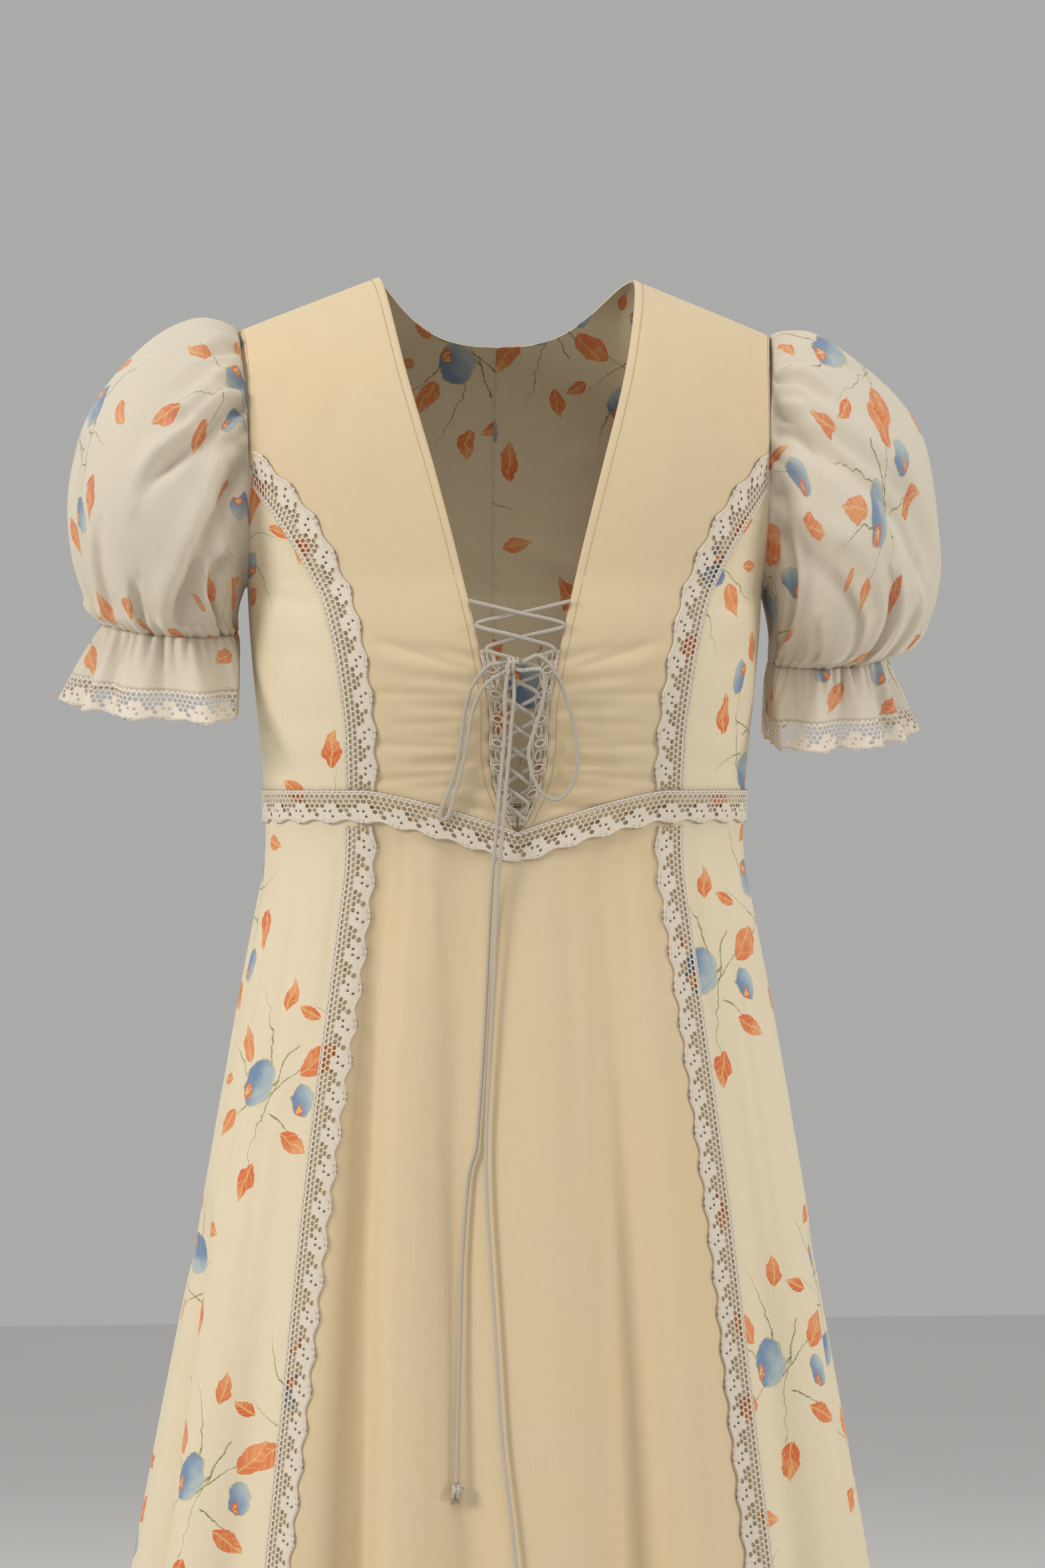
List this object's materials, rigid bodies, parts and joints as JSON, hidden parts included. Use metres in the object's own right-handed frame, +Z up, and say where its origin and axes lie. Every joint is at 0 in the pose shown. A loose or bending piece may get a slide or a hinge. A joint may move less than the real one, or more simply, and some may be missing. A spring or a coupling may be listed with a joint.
{
  "type": "prairie dress",
  "caption": "Long empire-line dress with a laced front yoke, puff sleeves, lace trims and a flared panelled skirt, in its worn hollow form.",
  "frame": {"origin": "where the wearer's shoulders hold it: midway between the two neck-side ends of the shoulder seams", "axes": "+Z up, -Y out of the front, +X to the right as seen from the front"},
  "size_m": [0.67, 0.4754, 1.4001],
  "materials": {
    "straw_cotton": "plain woven cotton, matt",
    "printed_cotton": "printed plain woven cotton, matt",
    "printed_voile": "thin printed cotton voile, slightly sheer",
    "ecru_lace": "cotton bobbin lace",
    "braided_cord": "round braided cord with a soft sheen"
  },
  "bodies": {
    "root": {"front_yoke_left": "straw_cotton", "front_yoke_right": "straw_cotton", "skirt_front": "straw_cotton", "side_front_left": "printed_cotton", "side_front_right": "printed_cotton", "back_left": "printed_cotton", "back_right": "printed_cotton", "skirt_side_front_left": "printed_cotton", "skirt_side_front_right": "printed_cotton", "skirt_back_left": "printed_cotton", "skirt_back_right": "printed_cotton", "sleeve_left": "printed_voile", "sleeve_right": "printed_voile", "sleeve_ruffle_left": "printed_voile", "sleeve_ruffle_right": "printed_voile", "cuff_lace_left": "ecru_lace", "cuff_lace_right": "ecru_lace", "bodice_lace_left": "ecru_lace", "bodice_lace_right": "ecru_lace", "waist_lace": "ecru_lace", "skirt_lace_left": "ecru_lace", "skirt_lace_right": "ecru_lace", "placket_lace_left": "ecru_lace", "placket_lace_right": "ecru_lace", "lacing_left": "braided_cord", "lacing_right": "braided_cord", "bow_knot": "braided_cord", "bow_left": "braided_cord", "bow_right": "braided_cord", "tail_left": "braided_cord", "tail_right": "braided_cord", "tail_end_left": "braided_cord", "tail_end_right": "braided_cord"}
  },
  "joints": []
}
